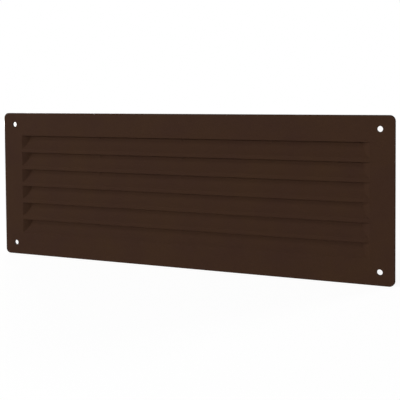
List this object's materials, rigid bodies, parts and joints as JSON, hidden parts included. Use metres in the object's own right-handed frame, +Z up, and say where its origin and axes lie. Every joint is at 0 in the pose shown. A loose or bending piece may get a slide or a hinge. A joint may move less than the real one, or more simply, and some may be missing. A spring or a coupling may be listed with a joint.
{
  "type": "door vent grille",
  "caption": "Flat rectangular louvred vent grille in dark brown plastic, with fixed recessed louvres, upright ribs behind them and a screw hole in each corner.",
  "frame": {"origin": "middle of the screw hole pattern, on the plate's back face", "axes": "+X along the plate, +Z up, +Y out of the back into the door; the front faces -Y"},
  "size_m": [0.36, 0.0087, 0.13],
  "materials": {
    "brown_plastic": "satin moulded, dark brown, coloured through"
  },
  "bodies": {
    "root": {"face_plate": "brown_plastic", "louvre_1": "brown_plastic", "louvre_2": "brown_plastic", "louvre_3": "brown_plastic", "louvre_4": "brown_plastic", "louvre_5": "brown_plastic", "louvre_6": "brown_plastic", "rib_left": "brown_plastic", "rib_centre": "brown_plastic", "rib_right": "brown_plastic"}
  },
  "joints": []
}
